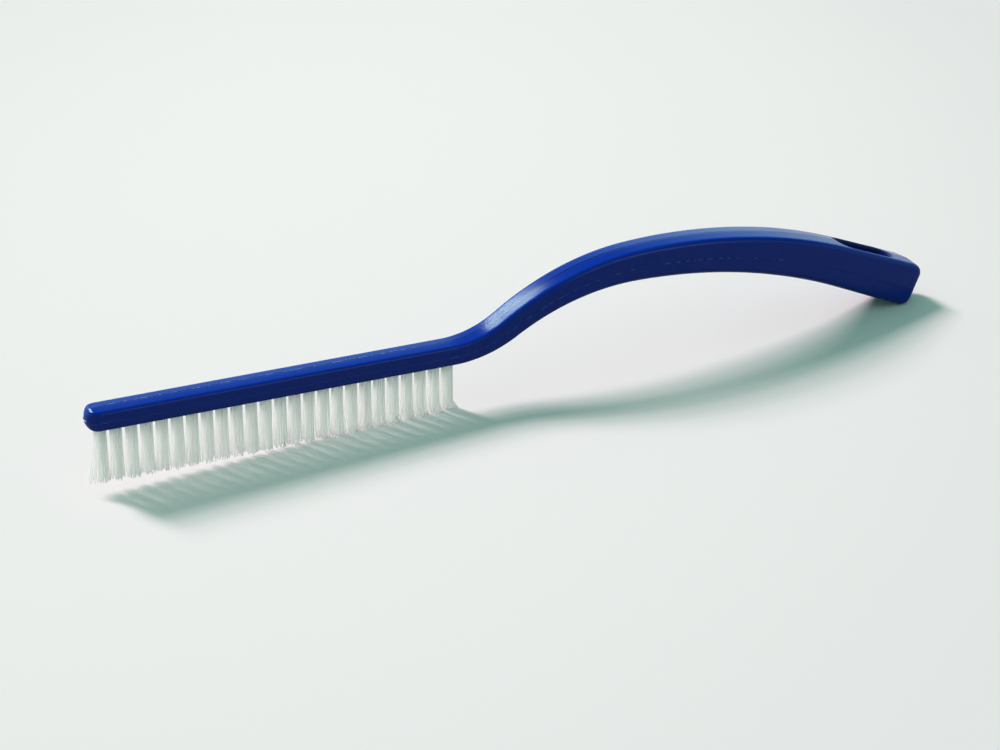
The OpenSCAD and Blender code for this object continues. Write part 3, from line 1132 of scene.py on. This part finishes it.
    # Tips that the table stops lie on it, and they slide towards the handle's end
    half_thick = add_node(
        tree, "ShaderNodeMath", {0: value["Filament width"], 1: 0.5}, operation="MULTIPLY"
    )
    now = add_node(tree, "ShaderNodeSeparateXYZ", {0: where})
    too_low = add_node(
        tree, "ShaderNodeMath", {0: half_thick.outputs[0], 1: now.outputs["Z"]},
        operation="SUBTRACT",
    )
    lift = add_node(
        tree, "ShaderNodeMath", {0: too_low.outputs[0], 1: 0.0}, operation="MAXIMUM"
    )
    slide = add_node(
        tree, "ShaderNodeMath", {0: lift.outputs[0], 1: value["Slide"]}, operation="MULTIPLY"
    )
    slide_vector = add_node(
        tree, "ShaderNodeCombineXYZ", {"X": slide.outputs[0], "Z": lift.outputs[0]}
    )
    stopped = add_node(
        tree, "GeometryNodeSetPosition",
        {"Geometry": laid.outputs["Geometry"], "Offset": slide_vector.outputs[0]},
    )
    ring = add_node(
        tree, "GeometryNodeCurvePrimitiveCircle",
        {"Resolution": value["Filament sides"], "Radius": half_thick.outputs[0]},
    )
    tubes = add_node(
        tree, "GeometryNodeCurveToMesh",
        {"Curve": stopped.outputs["Geometry"], "Profile Curve": ring.outputs["Curve"],
         "Fill Caps": True},
    )
    finish_tree(tree, outside, tubes.outputs["Mesh"], value["Filament"])
    return tree


def make_tufts(filament):
    """One piece of filaments for each tuft, in the place of its solid."""
    tree = tuft_tree()
    upright = (0.0, 0.0, 0.0)
    pieces = []
    for number in range(1, TUFTS + 1):
        name = "tuft_%02d_filaments" % number
        mesh = mesh_from_tree(
            name, tree, bpy.data.meshes.new(name),
            {"Bundle width": HOLE_WIDTH - FILAMENT_WIDTH, "Filament spacing": FILAMENT_SPACING,
             "Filament width": FILAMENT_WIDTH, "Filament sides": FILAMENT_SIDES,
             "Beads": FILAMENT_BEADS, "Length": BRISTLE_LENGTH + TIP_EXCESS,
             "Root depth": ROOT_DEPTH, "Unevenness": TIP_UNEVENNESS, "Spread": TIP_SPREAD,
             "Straying": TIP_STRAYING, "Bend power": BEND_POWER,
             "Lean": END_LEANS.get(number, upright), "Slide": SLIDE,
             "Seed": FIRST_SEED + number - 1,
             "Place": at_rest(FIRST_TUFT + (number - 1) * TUFT_PITCH, 0.0, 0.0),
             "Tilt": (0.0, REST_TILT, 0.0), "Filament": filament},
        )
        piece = link_piece(name, mesh)
        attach(piece, "root")
        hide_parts("tuft_%02d" % number)
        pieces.append(piece)
    return pieces


# The studio


def make_table():
    """The pale table that the brush lies on."""
    half = 4000.0 * MM
    mesh = bpy.data.meshes.new("table")
    corners = [(-half, -half, 0.0), (half, -half, 0.0), (half, half, 0.0), (-half, half, 0.0)]
    mesh.from_pydata(corners, [], [(0, 1, 2, 3)])
    mesh.materials.append(matt_white_table())
    link_piece("table", mesh)


def make_light(name, azimuth, elevation, spread, strength, colour):
    """A soft far light: azimuth from +X towards +Y, height and width in degrees."""
    lamp = bpy.data.lights.new(name, "SUN")
    lamp.energy = strength
    lamp.angle = math.radians(spread)
    lamp.color = paint(colour)[:3]
    light = bpy.data.objects.new(name, lamp)
    a, e = math.radians(azimuth), math.radians(elevation)
    towards = Vector((math.cos(e) * math.cos(a), math.cos(e) * math.sin(a), math.sin(e)))
    light.rotation_euler = towards.to_track_quat("Z", "Y").to_euler()
    bpy.context.scene.collection.objects.link(light)
    return light


def make_lamps(bristles):
    """A soft key from behind and the left, two boxes for the gloss, and a card."""
    # The key is an upright strip: three discs, one above the other
    for number, elevation in enumerate((39.0, 46.0, 53.0), start=1):
        key = make_light("key_light_%d" % number, 117.0, elevation, 10.0, 1.01, "#ffe5eb")
        key.visible_glossy = False
    # The two boxes that gloss shows: one behind, and a dim one low in front
    for box in (
        make_light("back_soft_box", 99.5, 36.0, 15.0, 1.4, "#e0fff4"),
        make_light("front_strip", 297.0, 28.0, 30.0, 0.5, "#ffeeff"),
    ):
        box.visible_diffuse = False
    # A card in front, flagged off all but the bristles, keeps their shaded side white
    card = make_light("bristle_card", 235.0, 18.0, 70.0, 2.35, "#f4fff8")
    card.light_linking.receiver_collection = bristles


def make_room():
    """The room: a pale backdrop, an even light, and walls that only gloss shows."""
    world = bpy.data.worlds.new("studio_room")
    world.use_nodes = True
    tree = world.node_tree
    tree.nodes.clear()
    ray, shown = shown_rays(tree)

    # Gloss shows walls that are bright low down, below a dark ceiling
    way = add_node(tree, "ShaderNodeTexCoord").outputs["Generated"]
    height = add_node(tree, "ShaderNodeSeparateXYZ", {0: way})
    room = add_node(tree, "ShaderNodeValToRGB", {"Fac": height.outputs["Z"]})
    stops = room.color_ramp.elements
    for position, colour in ((0.2, "#c0e6cc"), (0.37, "#93ceef"), (0.57, "#232a29")):
        stops.new(position).color = paint(colour)
    # A new ramp's own two stops go
    stops.remove(stops[-1])
    stops.remove(stops[0])
    strength = add_node(
        tree, "ShaderNodeMapRange",
        {"Value": ray["Is Glossy Ray"], "To Min": 1.0, "To Max": 1.7},
    )

    # The camera sees a plain backdrop, and the light on matt surfaces is even
    backdrop = add_node(
        tree, "ShaderNodeMix",
        {"Factor": ray["Is Camera Ray"], "A": room.outputs["Color"], "B": paint("#e0e5e4")},
        data_type="RGBA",
    )
    colour = add_node(
        tree, "ShaderNodeMix",
        {"Factor": shown, "A": paint("#88aea2"), "B": backdrop.outputs["Result"]},
        data_type="RGBA",
    )
    glow = add_node(
        tree, "ShaderNodeBackground",
        {"Color": colour.outputs["Result"], "Strength": strength.outputs["Result"]},
    )
    add_node(tree, "ShaderNodeOutputWorld", {"Surface": glow.outputs["Background"]})
    bpy.context.scene.world = world
    bpy.context.scene.view_settings.view_transform = "Standard"


def make_camera():
    """The photograph's viewpoint, worked out from the tuft row and the head."""
    lens = bpy.data.cameras.new("camera")
    lens.sensor_fit = "HORIZONTAL"
    lens.sensor_width = 36.0
    lens.lens = lens.sensor_width * FOCAL_PIXELS / PHOTO_PIXELS
    lens.clip_start = 10.0 * MM
    camera = bpy.data.objects.new("camera", lens)
    # An unturned camera looks straight down with its top towards +Y
    camera.matrix_world = (
        Matrix.Translation(Vector(VIEW_PLACE) * MM)
        @ Matrix.Rotation(math.radians(VIEW_HEADING - 90), 4, "Z")
        @ Matrix.Rotation(math.radians(90 - VIEW_DIP), 4, "X")
        @ Matrix.Rotation(math.radians(VIEW_ROLL), 4, "Z")
    )
    bpy.context.scene.collection.objects.link(camera)
    bpy.context.scene.camera = camera


# The scene


def main():
    """Sets up the studio and builds the looks."""
    for leftover in list(bpy.data.objects):
        bpy.data.objects.remove(leftover)
    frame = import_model()

    bristles = bpy.data.collections.new("bristles")
    make_camera()
    make_lamps(bristles)
    make_room()
    make_table()

    handle = make_handle(moulded_blue_polypropylene())
    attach(handle, "root")
    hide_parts("handle_body")
    for tuft in make_tufts(white_polyester_filament()):
        bristles.objects.link(tuft)

    steel = drawn_steel_wire()
    for name, node in frame["nodes"].items():
        if name.startswith("anchor"):
            node.data.materials.clear()
            node.data.materials.append(steel)


main()
